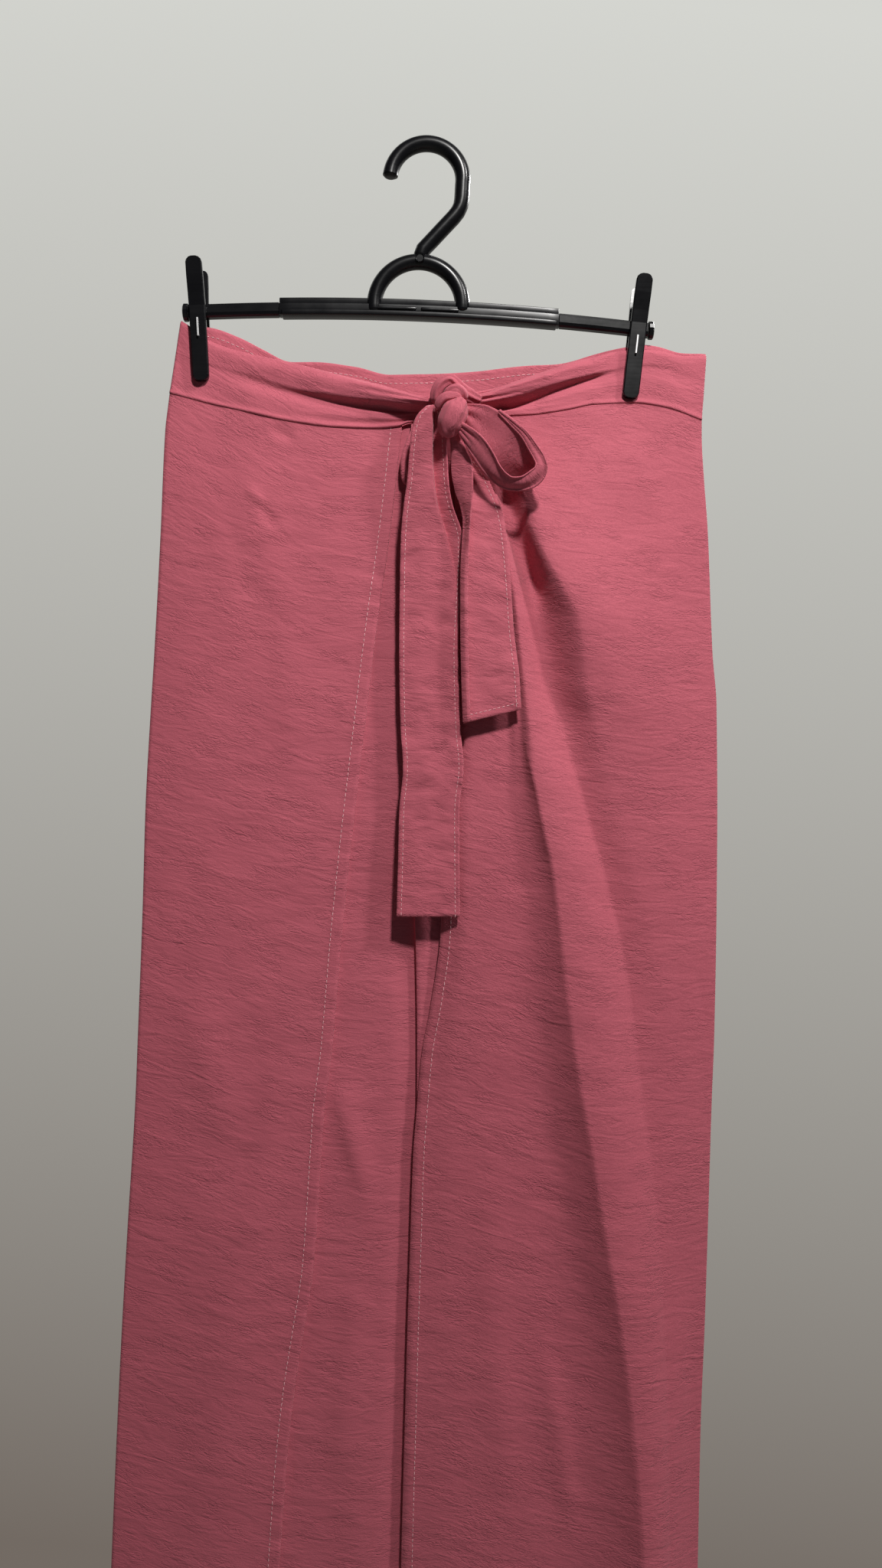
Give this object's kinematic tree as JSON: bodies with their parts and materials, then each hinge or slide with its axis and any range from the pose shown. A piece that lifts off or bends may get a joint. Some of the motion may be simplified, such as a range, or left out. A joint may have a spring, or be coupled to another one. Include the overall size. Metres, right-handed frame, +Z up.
{
  "type": "wrap trousers on a clip hanger",
  "caption": "Wide-leg crepe wrap trousers with a tie bow at the waist, clipped by the waistband to an adjustable plastic clip hanger.",
  "frame": {"origin": "the point inside the top of the hook where it rests on a rail, in the hanger bar's middle plane", "axes": "+X to the right as the front is seen, +Y from the front to the back, +Z up"},
  "size_m": [0.395, 0.0549, 1.1598],
  "materials": {
    "crepe": "crinkled matte crepe",
    "hanger_plastic": "satin moulded",
    "spring_steel": "bright strip"
  },
  "bodies": {
    "root": {"left_leg_front": "crepe", "left_leg_back": "crepe", "right_leg_front": "crepe", "right_leg_back": "crepe", "left_wrap_panel": "crepe", "right_wrap_panel": "crepe", "waistband_left": "crepe", "waistband_right": "crepe", "waistband_back": "crepe", "knot": "crepe", "bow_back": "crepe", "bow_front": "crepe", "side_loop": "crepe", "tail_long": "crepe", "tail_short": "crepe", "hanger_hook": "hanger_plastic", "hanger_sleeve": "hanger_plastic", "hanger_arm_left": "hanger_plastic", "hanger_arm_right": "hanger_plastic", "hanger_knob_left": "hanger_plastic", "hanger_knob_right": "hanger_plastic", "clip_left_front_jaw": "hanger_plastic", "clip_left_rear_jaw": "hanger_plastic", "clip_right_front_jaw": "hanger_plastic", "clip_right_rear_jaw": "hanger_plastic", "clip_left_spring": "spring_steel", "clip_right_spring": "spring_steel"}
  },
  "joints": []
}
